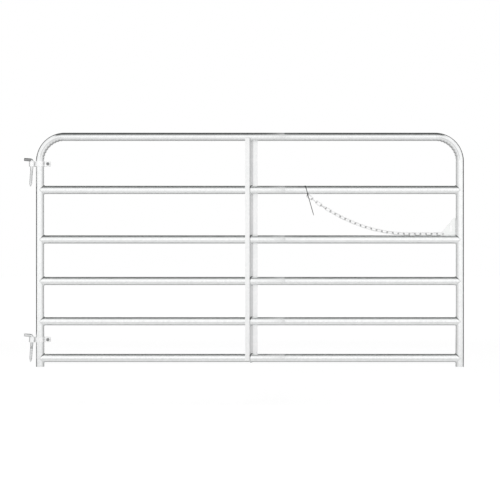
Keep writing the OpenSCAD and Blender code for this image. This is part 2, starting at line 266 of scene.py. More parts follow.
# %% [markdown]
# Every new piece ends the same way: a bmesh becomes an object at the origin, its faces are
# turned outwards, edges sharper than a bend stay crisp, and it rides on the body that carries
# it on the real gate. Open ends are crisp too, so that the rim of a wall doesn't tip the
# shading of the long faces beside it.

# %% Helper that finishes a piece
SMOOTH_BELOW = math.radians(38)
TOUCHING = 0.01 * MM


def finish_piece(bm, name, body, finish, stands_for=()):
    bmesh.ops.remove_doubles(bm, verts=bm.verts, dist=TOUCHING)
    bmesh.ops.recalc_face_normals(bm, faces=bm.faces)
    bm.edges.index_update()
    open_ends = [e.index for e in bm.edges if e.is_boundary]
    mesh = bpy.data.meshes.new(name)
    bm.to_mesh(mesh)
    bm.free()
    mesh.shade_smooth()
    mesh.set_sharp_from_angle(angle=SMOOTH_BELOW)
    for index in open_ends:
        mesh.edges[index].use_edge_sharp = True
    mesh.materials.append(FINISHES[finish])
    made = bpy.data.objects.new(name, mesh)
    bpy.context.scene.collection.objects.link(made)
    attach(made, body)
    if stands_for:
        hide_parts(*stands_for)
    print(name, len(mesh.polygons), "faces")
    return made


print("edges stay crisp above", round(math.degrees(SMOOTH_BELOW)), "degrees")

# %% [markdown]
# Long pieces grow from one open end, as bar and tube do on a bench. One helper pushes the end
# straight on and one turns it round a centre. The others find the edges of a ring or the
# points of an end, and keep a painted mark between none and all.

# %% Helpers that draw, bend and paint


def loop_edges(verts):
    inside = set(verts)
    return list({e for v in verts for e in v.link_edges if all(w in inside for w in e.verts)})


def end_points(edges):
    return list({v for e in edges for v in e.verts})


def push(bm, edges, offset):
    grown = bmesh.ops.extrude_edge_only(bm, edges=edges)["geom"]
    verts = {g for g in grown if isinstance(g, bmesh.types.BMVert)}
    bmesh.ops.translate(bm, verts=list(verts), vec=Vector(offset))
    return [g for g in grown if isinstance(g, bmesh.types.BMEdge) and all(v in verts for v in g.verts)]


def turn(bm, edges, centre, axis, degrees, steps):
    spun = bmesh.ops.spin(bm, geom=edges, cent=Vector(centre), axis=Vector(axis), dvec=Vector(),
                          angle=math.radians(degrees), steps=steps, use_duplicate=False)
    return [g for g in spun["geom_last"] if isinstance(g, bmesh.types.BMEdge)]


def paint_layer(bm):
    return bm.verts.layers.float.new("darkened")


def clamp(value):
    return min(1.0, max(0.0, value))


print("helpers: push, turn and paint")

# %% [markdown]
# The outer tube is one length of pipe, pushed round a former at the two top corners. The
# outside of the bend stretches smooth, but the inside is squeezed and folds into a row of
# small wrinkles. A ring of points is drawn up the hinge leg, spun round the corner, drawn along
# the top and spun down the latch leg. Then the inside of each bend is rippled and painted
# darker, with painted shade deepest in the creases of the wrinkles, and a darker line is painted
# beside them. A Solidify modifier gives the wall, so the leg ends are open as on the real gate.

# %% Bent outer tube
TUBE_SIDES = 64
TUBE_WALL = 1.7 * MM
BEND_R = 133 * MM
BEND_FADE = 6
WRINKLES = 10
WRINKLE_DEPTH = 2.6 * MM
STEPS_PER_WRINKLE = 12
# How dark the inside of a bend is painted between the wrinkles, how much darker the painted shade in their
# creases is, and where that starts and how fast it grows. Places are shares of the tube's radius, from its
# middle to the inside of the bend.
BEND_DARK = 0.3
BEND_DARK_IN_CREASES = 0.65
BEND_DARK_FROM = 0.4
BEND_DARK_RISE = 2.5
# Place, width and darkness of the line beside the wrinkles.
SIDE_LINE_AT = 0.16
SIDE_LINE_WIDTH = 0.13
SIDE_LINE_DARK = 0.9


def wrinkle(bm, darkened, centre_x, centre_z, side):
    for v in bm.verts:
        spoke = Vector((v.co.x - centre_x, 0, v.co.z - centre_z))
        if spoke.x * side < 0 or spoke.z < 0:
            continue
        along = math.atan2(spoke.z, spoke.x * side) / math.radians(90)
        inside = (BEND_R - spoke.length) / tube_r
        squeeze = max(0.0, inside)
        fade = min(1.0, BEND_FADE * along, BEND_FADE * (1 - along))
        wave = 0.5 - 0.5 * math.cos(2 * math.pi * WRINKLES * along)
        # The inside of the bend is painted darker, with painted shade deepest in the creases of the
        # wrinkles, and a darker line beside them.
        bend_dark = clamp(BEND_DARK_RISE * (squeeze - BEND_DARK_FROM))
        bend_dark *= BEND_DARK + (BEND_DARK_IN_CREASES - BEND_DARK) * wave
        marked = SIDE_LINE_DARK * math.exp(-((inside - SIDE_LINE_AT) / SIDE_LINE_WIDTH) ** 2)
        v[darkened] = fade * (bend_dark + marked)
        v.co += spoke.normalized() * WRINKLE_DEPTH * squeeze * fade * wave


def outer_tube():
    bm = bmesh.new()
    ring = bmesh.ops.create_circle(bm, segments=TUBE_SIDES, radius=tube_r,
                                   matrix=Matrix.Translation((hinge_leg_x, 0, foot_z)))
    edges = loop_edges(ring["verts"])
    steps = WRINKLES * STEPS_PER_WRINKLE
    bend_z = top_rail_z - BEND_R
    left_x, right_x = hinge_leg_x + BEND_R, latch_leg_x - BEND_R
    edges = push(bm, edges, (0, 0, bend_z - foot_z))
    edges = turn(bm, edges, (left_x, 0, bend_z), (0, 1, 0), 90, steps)
    edges = push(bm, edges, (right_x - left_x, 0, 0))
    edges = turn(bm, edges, (right_x, 0, bend_z), (0, 1, 0), 90, steps)
    push(bm, edges, (0, 0, foot_z - bend_z))
    darkened = paint_layer(bm)
    wrinkle(bm, darkened, left_x, bend_z, -1)
    wrinkle(bm, darkened, right_x, bend_z, 1)
    made = finish_piece(bm, "bent_outer_tube", "gate", "bent_tube",
                        ["outer_frame_tube"])
    wall = made.modifiers.new("wall", "SOLIDIFY")
    wall.thickness = TUBE_WALL
    wall.offset = -1


outer_tube()

# %% [markdown]
# Each rail is cut to a saddle at both ends and welded all round to its leg. Where two equal
# tubes meet, the seam is two half ellipses that stand at 45 degrees and meet in a V, which is
# what shows from the front. Half a ring, stretched by the square root of two and tipped by 45
# degrees, lies exactly on that seam. Small waves along the ring are the ripples that the
# welder's hand leaves. The upper side of every bead carries a painted reflection of the dark
# ceiling, so that the dark line along the top of a rail runs up to the leg.

# %% Weld beads at the rail ends
BEAD_R = 2.1 * MM
BEAD_SIDES = 10
RIPPLE_PITCH = 3.2 * MM
RIPPLE_SHARE = 0.16
RIPPLE_STEPS = 4
# Where the painted reflection on a bead starts above the middle of its rail, and over what height it grows
# dark, as shares of the tube's radius.
REFLECTION_FROM = 0.3
REFLECTION_RUN = 0.25


def bead_ring(radius, degrees):
    bm = bmesh.new()
    upright = Matrix.Translation((0, radius, 0)) @ Matrix.Rotation(math.radians(90), 4, "Y")
    profile = bmesh.ops.create_circle(bm, segments=BEAD_SIDES, radius=BEAD_R, matrix=upright)
    ripples = round(radius * math.radians(degrees) / RIPPLE_PITCH)
    turn(bm, loop_edges(profile["verts"]), (0, 0, 0), (0, 0, 1), -degrees, ripples * RIPPLE_STEPS)
    for v in bm.verts:
        out = Vector((v.co.x, v.co.y, 0)).normalized()
        core = out * radius
        along = math.atan2(out.x, out.y) % (2 * math.pi) / math.radians(degrees)
        v.co = core + (v.co - core) * (1 + RIPPLE_SHARE * math.sin(2 * math.pi * ripples * along))
    bmesh.ops.holes_fill(bm, edges=bm.edges, sides=BEAD_SIDES)
    return bm


def add_copy(bm, part, matrix):
    mesh = bpy.data.meshes.new("part")
    part.transform(matrix)
    part.to_mesh(mesh)
    part.free()
    bm.from_mesh(mesh)
    bpy.data.meshes.remove(mesh)


# Paints a reflection of the dark ceiling on the upper side of each bead.
def paint_reflection_on_tops(bm):
    darkened = paint_layer(bm)
    for v in bm.verts:
        above = min((v.co.z - z for z in (*rail_z, top_rail_z)), key=abs) / tube_r
        v[darkened] = clamp((above - REFLECTION_FROM) / REFLECTION_RUN)


def saddle_welds():
    bm = bmesh.new()
    stretch = Matrix.Diagonal((math.sqrt(2), 1, 1, 1))
    for z in rail_z:
        for leg_x, side in ((hinge_leg_x, 1), (latch_leg_x, -1)):
            for up in (1, -1):
                seam = Vector((side, 0, up)).normalized()
                across = Vector((0, 1, 0))
                tip = Matrix((seam, across, seam.cross(across))).transposed().to_4x4()
                add_copy(bm, bead_ring(tube_r, 180),
                         Matrix.Translation((leg_x, 0, z)) @ tip @ stretch)
    paint_reflection_on_tops(bm)
    finish_piece(bm, "rail_end_welds", "gate", "weld_metal")


saddle_welds()

# %% [markdown]
# The rails run through round holes in the web of the brace, and a bead runs round each hole on
# both faces. The web leans, so the ring is a circle round the rail, sheared along it. What
# would stand above the cut top of the brace is sliced off and closed.

# %% Weld beads at the brace
BRACE_SHEET = 2.8 * MM
BRACE_WEB_RUN = 20 * MM
BRACE_BEAD_OUT = BEAD_R / 3


def brace_welds():
    bm = bmesh.new()
    low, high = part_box("z_brace")
    shear = Matrix.Identity(4)
    shear[0][1] = BRACE_WEB_RUN / (high.y - low.y - BRACE_SHEET)
    upright = Matrix.Rotation(math.radians(90), 4, "Y")
    for z in (*rail_z, top_rail_z):
        for face in (-1, 1):
            x = (low.x + high.x) / 2 + face * BRACE_SHEET
            add_copy(bm, bead_ring(tube_r + BRACE_BEAD_OUT, 360),
                     Matrix.Translation((x, 0, z)) @ shear @ upright)
    bmesh.ops.bisect_plane(bm, geom=[*bm.verts, *bm.edges, *bm.faces], dist=TOUCHING,
                           plane_co=(0, 0, high.z), plane_no=(0, 0, 1), clear_outer=True)
    bmesh.ops.holes_fill(bm, edges=bm.edges, sides=0)
    paint_reflection_on_tops(bm)
    finish_piece(bm, "brace_welds", "gate", "weld_metal")


brace_welds()

# %% [markdown]
# The chain plate stands in the corner between the latch leg and a rail, and is held by fillet
# beads on both faces. A straight bead is a thin rod that is cut into short lengths, and every
# other cut swells a little.

# %% Weld beads at the chain plate
FILLET_R = 2.0 * MM
FILLET_END = 0.8


def straight_bead(start, end):
    bm = bmesh.new()
    run = end - start
    rows = 2 * round(run.length / RIPPLE_PITCH)
    ring = bmesh.ops.create_circle(bm, cap_ends=True, segments=BEAD_SIDES, radius=FILLET_R)
    edges = loop_edges(ring["verts"])
    for row in range(rows):
        edges = push(bm, edges, (0, 0, run.length / rows))
        swell = 1 + RIPPLE_SHARE if row % 2 == 0 else 1 - RIPPLE_SHARE
        if row in (0, rows - 1):
            swell = FILLET_END
        rim = end_points(edges)
        grow = FILLET_R * swell / max(v.co.x for v in rim)
        bmesh.ops.scale(bm, vec=(grow, grow, 1), verts=rim)
    bmesh.ops.holes_fill(bm, edges=bm.edges, sides=BEAD_SIDES)
    return bm, Matrix.Translation(start) @ run.to_track_quat("Z", "Y").to_matrix().to_4x4()


def plate_welds():
    bm = bmesh.new()
    low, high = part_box("chain_gusset")
    for y in (low.y - FILLET_R / 2, high.y + FILLET_R / 2):
        corner = Vector((high.x, y, low.z))
        tips = (Vector((low.x + FILLET_R, y, low.z)), Vector((high.x, y, high.z - FILLET_R)))
        for tip in tips:
            add_copy(bm, *straight_bead(corner, tip))
    finish_piece(bm, "plate_welds", "gate", "weld_metal")


plate_welds()

# %% [markdown]
# The hinge strap is one flat bar, bent cold. In the same order as on the bending bench, a short
# upright edge is drawn along one ear, spun round the leg, back through the neck, round the eye,
# and out again the other way. Its corners are rounded, painted shade darkens the pinch at the
# neck, and Solidify and Bevel turn the ribbon into bar with softly worn edges.

# %% Hinge straps
STRAP_T = 5 * MM
WELD_GAP = 0.2 * MM
EYE_R = 13.5 * MM
EYE_STEPS = 48
WRAP_STEPS = 24
NECK_R = 3.9 * MM
NECK_STEPS = 14
EAR_BEND_R = 5.5 * MM
EAR_STEPS = 8
EAR_CORNER = 6 * MM
# Reach and darkness of the painted shade in the pinch at the neck.
PINCH_REACH = 3.2 * MM
PINCH_SHADE = 0.8
WORN_EDGE = 0.7 * MM


def hinge_strap(which):
    low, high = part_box(which + "_hinge_strap")
    wrap_r = tube_r + WELD_GAP + STRAP_T / 2
    ear_y = -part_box(which + "_hinge_washer")[1].y - STRAP_T / 2
    ear_bend_x = hinge_leg_x + math.sqrt((wrap_r + EAR_BEND_R) ** 2 - (ear_y + EAR_BEND_R) ** 2)
    neck_x = (hinge_leg_x ** 2 + (EYE_R + NECK_R) ** 2 - (wrap_r + NECK_R) ** 2) / (2 * hinge_leg_x)
    neck_y = math.sqrt((EYE_R + NECK_R) ** 2 - neck_x ** 2)
    ear_turn = 90 - math.degrees(math.atan2(ear_y + EAR_BEND_R, ear_bend_x - hinge_leg_x))
    neck_at_leg = math.degrees(math.atan2(neck_y, neck_x - hinge_leg_x))
    neck_at_eye = math.degrees(math.atan2(neck_y, neck_x))
    wrap_turn = neck_at_leg - (90 - ear_turn)
    neck_turn = neck_at_leg - neck_at_eye
    up = (0, 0, 1)
    bm = bmesh.new()
    foot = bm.verts.new((high.x, ear_y, low.z))
    edges = [bm.edges.new((foot, bm.verts.new((high.x, ear_y, high.z))))]
    edges = push(bm, edges, (ear_bend_x - high.x, 0, 0))
    edges = turn(bm, edges, (ear_bend_x, ear_y + EAR_BEND_R, 0), up, -ear_turn, EAR_STEPS)
    edges = turn(bm, edges, (hinge_leg_x, 0, 0), up, wrap_turn, WRAP_STEPS)
    edges = turn(bm, edges, (neck_x, neck_y, 0), up, -neck_turn, NECK_STEPS)
    edges = turn(bm, edges, (0, 0, 0), up, 360 - 2 * neck_at_eye, EYE_STEPS)
    edges = turn(bm, edges, (neck_x, -neck_y, 0), up, -neck_turn, NECK_STEPS)
    edges = turn(bm, edges, (hinge_leg_x, 0, 0), up, wrap_turn, WRAP_STEPS)
    edges = turn(bm, edges, (ear_bend_x, -ear_y - EAR_BEND_R, 0), up, -ear_turn, EAR_STEPS)
    push(bm, edges, (high.x - ear_bend_x, 0, 0))
    corners = [v for v in bm.verts if abs(v.co.x - high.x) < TOUCHING]
    bmesh.ops.bevel(bm, geom=corners, offset=EAR_CORNER, affect="VERTICES", segments=6, profile=0.5,
                    material=-1)
    darkened = paint_layer(bm)
    # Painted shade in the pinch at the neck.
    for v in bm.verts:
        v[darkened] = PINCH_SHADE if abs(v.co.x - neck_x) < PINCH_REACH else 0.0
    made = finish_piece(bm, which + "_strap_bar", "gate", "galvanised_strap",
                        [which + "_hinge_strap"])
    bar = made.modifiers.new("bar", "SOLIDIFY")
    bar.thickness = STRAP_T
    bar.offset = 0
    worn = made.modifiers.new("worn_edges", "BEVEL")
    worn.width = WORN_EDGE
    worn.segments = 2
    worn.limit_method = "ANGLE"
    worn.harden_normals = True


for which in eye_z:
    hinge_strap(which)

# %% [markdown]
# Each strap is drawn tight by a carriage bolt: a domed head at the back, a rolled thread at the
# front, a washer and a hexagon nut. The bolt's outline is spun round its axis as on a lathe.
# The thread is a true screw: a small V is spun round the bolt and lifted by one pitch a turn.

# %% Hinge bolts
BOLT_R = 4.75 * MM
BOLT_PITCH = 1.6 * MM
BOLT_CHAMFER = 0.6 * MM
BOLT_RIM = 0.4 * MM
THREADED_SHARE = 0.75
THREAD_DEPTH = 0.8 * MM
THREAD_SINK = 0.05 * MM
THREAD_STEPS = 20
# The thread's outline, in shares of its pitch.
CREST_FROM = 0.35
CREST_TO = 0.55
THREAD_FOOT = 0.9
DOME_STEPS = 10
SHANK_SIDES = 40


def screw_thread(bm, core_r, depth, pitch, length, top):
    profile = [(core_r, 0.0), (core_r + depth, pitch * CREST_FROM), (core_r + depth, pitch * CREST_TO),
               (core_r, pitch * THREAD_FOOT)]
    verts = [bm.verts.new((r, 0, top - length + h)) for r, h in profile]
    edges = [bm.edges.new(pair) for pair in zip(verts, verts[1:])]
    turns = length / pitch - 1
    steps = round(turns * THREAD_STEPS)
    bmesh.ops.spin(bm, geom=edges, cent=Vector(), axis=Vector((0, 0, 1)),
                   dvec=Vector((0, 0, turns * pitch / steps)), angle=2 * math.pi * turns, steps=steps,
                   use_duplicate=False)


def turned(bm, profile, sides):
    verts = [bm.verts.new((r, 0, h)) for r, h in profile]
    edges = [bm.edges.new(pair) for pair in zip(verts, verts[1:])]
    bmesh.ops.spin(bm, geom=edges, cent=Vector(), axis=Vector((0, 0, 1)), dvec=Vector(),
                   angle=2 * math.pi, steps=sides, use_merge=True, use_duplicate=False)


def carriage_bolt(which):
    low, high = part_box(which + "_hinge_bolt")
    back_face = -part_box(which + "_hinge_washer")[1].y
    centre = middle(which + "_hinge_bolt")
    core_r = BOLT_R - THREAD_DEPTH
    head_r = (high.x - low.x) / 2
    head_h = high.y - back_face
    length = back_face - low.y
    dome_r = (head_r ** 2 + head_h ** 2) / (2 * head_h)
    rim = math.asin(head_r / dome_r)
    profile = [(0, 0), (core_r - BOLT_CHAMFER, 0), (core_r, BOLT_CHAMFER), (core_r, length),
               (head_r - BOLT_RIM, length), (head_r, length + BOLT_RIM)]
    for step in range(1, DOME_STEPS + 1):
        a = rim * (1 - step / DOME_STEPS)
        profile.append((dome_r * math.sin(a), length + head_h - dome_r * (1 - math.cos(a))))
    bm = bmesh.new()
    turned(bm, profile, SHANK_SIDES)
    screw_thread(bm, core_r - THREAD_SINK, THREAD_DEPTH, BOLT_PITCH, length * THREADED_SHARE,
                 length * THREADED_SHARE + BOLT_CHAMFER)
    lie = Matrix.Rotation(math.radians(-90), 4, "X")
    bm.transform(Matrix.Translation((centre.x, low.y, centre.z)) @ lie)
    finish_piece(bm, which + "_carriage_bolt", "gate", "zinc_fasteners",
                 [which + "_hinge_bolt"])


print("bolt thread:", round(2 * BOLT_R / MM, 1), "mm with a pitch of", round(BOLT_PITCH / MM, 1), "mm")

# %% [markdown]
# A nut is cut from hexagon bar and its ends are turned, which rounds off the corners. Here it
# is a six-sided prism, and a bevel along its end edges stands for the turning. Each hinge then
# gets its bolt and its nut.

# %% Hinge nuts, and both hinges' bolts
NUT_CHAMFER = 1.0 * MM


def hexagon_nut(which):
    low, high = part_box(which + "_hinge_nut")
    corner_r = (high.x - low.x) / 2
    lie = Matrix.Translation(middle(which + "_hinge_nut")) @ Matrix.Rotation(math.radians(90), 4, "X")
    bm = bmesh.new()
    bmesh.ops.create_cone(bm, cap_ends=True, segments=6, radius1=corner_r, radius2=corner_r,
                          depth=high.y - low.y, matrix=lie @ Matrix.Rotation(math.radians(30), 4, "Z"))
    rims = [e for e in bm.edges if abs(e.verts[0].co.y - e.verts[1].co.y) < TOUCHING]
    bmesh.ops.bevel(bm, geom=rims, offset=NUT_CHAMFER, affect="EDGES", segments=3, profile=0.5, material=-1)
    finish_piece(bm, which + "_hexagon_nut", "gate", "zinc_fasteners",
                 [which + "_hinge_nut"])


for which in eye_z:
    carriage_bolt(which)
    hexagon_nut(which)

# %% [markdown]
# The screw hooks are bent from round rod. One arm is the pin that the eye hangs on, the other
# is a long shank with a coarse timber thread and a point. A ring is drawn along the pin, spun
# round the bend and drawn down the shank, and the thread is cut as on the bolts, but deeper.
# The hook hangs loose in the eye, so all of it leans a little. The pins carry painted shade,
# strong on the upper pin and faint on the lower, and the first turns of the lower thread are painted darker
# than the rest.

# %% Screw hooks
ROD_R = 7.95 * MM
ROD_SIDES = 40
PIN_BEVEL = 1.5 * MM
PIN_L = 44 * MM
SHANK_L = 144 * MM
POINT_L = 16 * MM
# Each step of the point: its share of the length, and what is left of the core's radius.
POINT_SHAPE = ((0.9, 0.3), (0.1, 0.05))
THREAD_R = 7.5 * MM
THREAD_DROP = 36 * MM
TIMBER_PITCH = 4.6 * MM
TIMBER_DEPTH = 0.9 * MM
TIMBER_SINK = 0.1 * MM
RUNOUT = 2 * MM
HOOK_LEAN = math.radians(4)
HOOK_TURN_R = 11 * MM
HOOK_STEPS = 16
STRAP_HALF_H = 14 * MM
SEAT_PLAY = 0.3 * MM
HOOK_BODY = {"lower": "lower_hook", "upper": "upper_hook"}
# Darkness of the painted shade on each pin, and of the darker mark on the first turns of each thread.
PIN_SHADE = {"lower": 0.08, "upper": 0.7}
THREAD_DARK = {"lower": 0.5, "upper": 0.0}
THREAD_DARK_RUN = 14 * MM


def screw_hook(which):
    pin_h = STRAP_HALF_H * math.cos(HOOK_LEAN) - HOOK_TURN_R * math.sin(HOOK_LEAN) + SEAT_PLAY + ROD_R
    core_r = THREAD_R - TIMBER_DEPTH
    thread_top = -pin_h - THREAD_DROP
    thread_l = SHANK_L - POINT_L + thread_top
    bm = bmesh.new()
    end = Matrix.Translation((-PIN_L, 0, 0)) @ Matrix.Rotation(math.radians(90), 4, "Y")
    ring = bmesh.ops.create_circle(bm, cap_ends=True, segments=ROD_SIDES,
                                   radius=ROD_R - PIN_BEVEL, matrix=end)
    edges = push(bm, loop_edges(ring["verts"]), (PIN_BEVEL, 0, 0))
    grow = ROD_R / (ROD_R - PIN_BEVEL)
    bmesh.ops.scale(bm, vec=(1, grow, grow), verts=end_points(edges))
    edges = push(bm, edges, (PIN_L - HOOK_TURN_R - PIN_BEVEL, 0, 0))
    edges = turn(bm, edges, (-HOOK_TURN_R, 0, -HOOK_TURN_R), (0, 1, 0), 90, HOOK_STEPS)
    edges = push(bm, edges, (0, 0, thread_top + HOOK_TURN_R + RUNOUT))
    point = [(POINT_L * down, core_r * thin) for down, thin in POINT_SHAPE]
    for drop, radius in ((RUNOUT, core_r), (thread_l, core_r), *point):
        edges = push(bm, edges, (0, 0, -drop))
        tip = end_points(edges)
        shrink = radius / max(v.co.x for v in tip)
        bmesh.ops.scale(bm, vec=(shrink, shrink, 1), verts=tip)
    bmesh.ops.holes_fill(bm, edges=bm.edges, sides=ROD_SIDES)
    screw_thread(bm, core_r - TIMBER_SINK, TIMBER_DEPTH + TIMBER_SINK, TIMBER_PITCH, thread_l, thread_top)
    darkened = paint_layer(bm)
    # Painted shade on the pin, and a darker mark on the first turns of the thread.
    for v in bm.verts:
        v[darkened] = PIN_SHADE[which] if v.co.x < -HOOK_TURN_R / 2 else 0.0
        if 0 < thread_top - v.co.z < THREAD_DARK_RUN:
            v[darkened] = THREAD_DARK[which]
    bm.transform(Matrix.Translation((0, 0, eye_z[which])) @ Matrix.Rotation(HOOK_LEAN, 4, "Y")
                 @ Matrix.Translation((0, 0, pin_h)))
    finish_piece(bm, which + "_threaded_hook", HOOK_BODY[which], "galvanised_hooks",
                 [which + "_screw_hook"])


for which in eye_z:
    screw_hook(which)

# %% [markdown]
# Every link is bent from wire and butt-welded in the middle of one side, which leaves a small
# swelling there. The links' middles give the line of the chain. Each link is rolled 45 degrees
# one way or the other, and the last few twist round until the end link hangs square to the tie.
# The joints of the chain carry painted shade: both ends of each link are painted darker,
# where one link hangs in the next.

# %% Chain links: painted shade at the ends, and butt welds
LINK_MID_R = 8 * MM
LINK_ROLL = 45
TWIST_LINKS = 5
# Place along the wire and radius of the swelling, in millimetres.
SWELL_PROFILE = [(-3.2, 2.44), (-2.2, 2.9), (-1.0, 3.1), (0.0, 3.0), (1.0, 3.1), (2.2, 2.9), (3.2, 2.44)]
SWELL_SIDES = 16
# Where the painted shade at each end of a link starts, and how fast it grows.
LINK_SHADE_FROM = 12.5 * MM
LINK_SHADE_RUN = 2.5 * MM
links = sorted(name for name in nodes if name.startswith("chain_link_"))
SWAYING = frame["record"]["behaviour"]["bodies"]["chain"]


def link_side(k):
    before, after = middle(links[max(k - 1, 0)]), middle(links[min(k + 1, len(links) - 1)])
    along = (before - after).normalized()
    twist = LINK_ROLL * clamp((k + 2 + TWIST_LINKS - len(links)) / TWIST_LINKS)
    roll = math.radians(twist + (-LINK_ROLL if k % 2 == 0 else LINK_ROLL))
    upright = along.cross(Vector((0, 1, 0)))
    return along, Vector((0, 1, 0)) * math.cos(roll) + upright * math.sin(roll)


# Paints shade at both ends of each link, where it hangs in the next.
def paint_shade_at_ends():
    for k, link in enumerate(links):
        node, centre, along = nodes[link], middle(link), link_side(k)[0]
        darkened = node.data.attributes.new("darkened", "FLOAT", "POINT")
        for v in node.data.vertices:
            reach = abs((node.matrix_world @ v.co - centre).dot(along))
            darkened.data[v.index].value = clamp((reach - LINK_SHADE_FROM) / LINK_SHADE_RUN)
    print("darker ends on", len(links), "links")


def butt_welds(name, body, wanted):
    bm = bmesh.new()
    for k, link in enumerate(links):
        if link not in wanted:
            continue
        along, side = link_side(k)
        swell = bmesh.new()
        turned(swell, [(r * MM, h * MM) for h, r in SWELL_PROFILE], SWELL_SIDES)
        place = Matrix.Translation(middle(link) + side * LINK_MID_R)
        add_copy(bm, swell, place @ along.to_track_quat("Z", "Y").to_matrix().to_4x4())
    finish_piece(bm, name, body, "zinc_chain")


paint_shade_at_ends()
butt_welds("swaying_link_welds", "chain", SWAYING)
butt_welds("resting_link_welds", "gate", [name for name in links if name not in SWAYING])

# %% [markdown]
# The tie is one nylon moulding: a strap with a rack of fine teeth, and a square head with a
# pawl that the strap is pulled through. A short edge is drawn round the rail and the link as a
# belt runs round two pulleys, and the loose tail is drawn down from the head to its tapered
# tip. The rows of the tail are set in and out by turns, which makes the teeth.

# %% Strap of the cable tie
TIE_W = 3.6 * MM
TIE_T = 1.2 * MM
TIE_HEAD = Vector((5.6, 4.6, 6.4)) * MM
TAIL_L = 112 * MM
TIE_LEAN = math.radians(16)
NOSE_R = 3.4 * MM
LOOP_STEPS = 64
NOSE_STEPS = 12
TOOTH_PITCH = 1.4 * MM
TOOTH_H = 0.14 * MM
TIP_L = 12 * MM
TIP_SHARE = 0.45
tie_rail_z = middle("fifth_rail").z
tie_front_y = -tube_r / 2


def tie_places():
    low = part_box("cable_tie")[0]
    lean_in, lean_up = math.sin(TIE_LEAN), math.cos(TIE_LEAN)
    grip = (low.z - tie_rail_z + TIE_W / 2 * lean_in) / lean_up + TAIL_L
    loop_r = (tube_r + SEAT_PLAY) / lean_up + TIE_W / 2 * math.tan(TIE_LEAN)
    x = low.x + TIE_W / 2 * lean_up + (loop_r + TIE_T) * lean_in
    return grip, loop_r, Matrix.Translation((x, 0, tie_rail_z)) @ Matrix.Rotation(-TIE_LEAN, 4, "Y")


def tie_edge(bm, y, z):
    return [bm.edges.new([bm.verts.new((x, y, z)) for x in (-TIE_W / 2, TIE_W / 2)])]


def tie_strap(grip, loop_r, place):
    big, small = loop_r + TIE_T / 2, NOSE_R + TIE_T / 2
    span = -grip - small
    wrap = math.acos((big - small) / span)
    run = span * math.sin(wrap)
    ahead, down = -run * math.cos(wrap), -run * math.sin(wrap)
    across = (1, 0, 0)
    bm = bmesh.new()
    edges = tie_edge(bm, -big * math.sin(wrap), -big * math.cos(wrap))
    edges = turn(bm, edges, (0, 0, 0), across, math.degrees(2 * wrap) - 360, LOOP_STEPS)
    edges = push(bm, edges, (0, ahead, down))
    edges = turn(bm, edges, (0, 0, -span), across, -math.degrees(2 * wrap), NOSE_STEPS)
    push(bm, edges, (0, ahead, -down))
    edges = tie_edge(bm, tie_front_y, grip + TIE_HEAD.z / 2)
    tail = TAIL_L + TIE_HEAD.z / 2
    rows = round(2 * tail / TOOTH_PITCH)
    for row in range(rows):
        edges = push(bm, edges, (0, TOOTH_H if row % 2 == 0 else -TOOTH_H, -tail / rows))
        left = tail * (rows - 1 - row) / rows
        taper = min(1, TIP_SHARE + (1 - TIP_SHARE) * left / TIP_L)
        ends = end_points(edges)
        bmesh.ops.scale(bm, vec=(taper * TIE_W / 2 / max(v.co.x for v in ends), 1, 1), verts=ends)
    bm.transform(place)
    made = finish_piece(bm, "tie_strap", "gate", "black_nylon", ["cable_tie"])
    thick = made.modifiers.new("thickness", "SOLIDIFY")
    thick.thickness = TIE_T
    thick.offset = 0


tie_grip, tie_loop_r, tie_place = tie_places()
tie_strap(tie_grip, tie_loop_r, tie_place)

# %% [markdown]
# The head is a small block with softly rounded edges and a mouth at either end, where the strap
# goes in and the tail comes out. A cube is bevelled, and its two ends are set in and pushed down.

# %% Head of the cable tie
HEAD_ROUND = 0.6 * MM
HEAD_WALL = 0.6 * MM
MOUTH_DEPTH = 1.6 * MM
END_ON = 0.99


def tie_head(grip, place):
    bm = bmesh.new()
    bmesh.ops.create_cube(bm, size=1, matrix=Matrix.Diagonal((*TIE_HEAD, 1)))
    bmesh.ops.bevel(bm, geom=bm.edges[:], offset=HEAD_ROUND, affect="EDGES", segments=3, profile=0.5,
                    material=-1)
    mouths = [f for f in bm.faces if abs(f.normal.z) > END_ON]
    bmesh.ops.inset_individual(bm, faces=mouths, thickness=HEAD_WALL)
    for face in bmesh.ops.extrude_discrete_faces(bm, faces=mouths)["faces"]:
        bmesh.ops.translate(bm, verts=face.verts, vec=-face.normal * MOUTH_DEPTH)
    bm.transform(place @ Matrix.Translation((0, tie_front_y, grip + TIE_HEAD.z / 2)))
    finish_piece(bm, "tie_head", "gate", "black_nylon")


tie_head(tie_grip, tie_place)

# %% [markdown]
# The gate is photographed against white. The world and the floor are white to the camera and to
# reflections, which Light Path tells apart from the other rays, and they light the gate at a
# plain level. The floor keeps the soft shadow.

# %% White world and pale floor
WORLD_LIGHT = 0.7
WORLD_SEEN = 1.0
FLOOR_LIFT = 0.42
FLOOR_ROUGH = 0.9
FLOOR_DROP = 0.25
FLOOR_HALF = 30.0


def stage_plane(name, corner, along, up, material):
    bm = bmesh.new()
    corner, along, up = Vector(corner), Vector(along), Vector(up)
    bm.faces.new([bm.verts.new(p) for p in (corner, corner + along, corner + along + up, corner + up)])
    mesh = bpy.data.meshes.new(name)
    bm.to_mesh(mesh)
    bm.free()
    mesh.materials.append(material)
    made = bpy.data.objects.new(name, mesh)
    bpy.context.scene.collection.objects.link(made)
    return made


def seen_directly(tree):
    ray = add(tree, "ShaderNodeLightPath").outputs
    first = add(tree, "ShaderNodeMath", {0: ray["Is Camera Ray"], 1: ray["Is Glossy Ray"]},
                operation="MAXIMUM")
    both = add(tree, "ShaderNodeMath", {0: first.outputs["Value"], 1: ray["Is Transmission Ray"]},
               operation="MAXIMUM")
    return both.outputs["Value"]


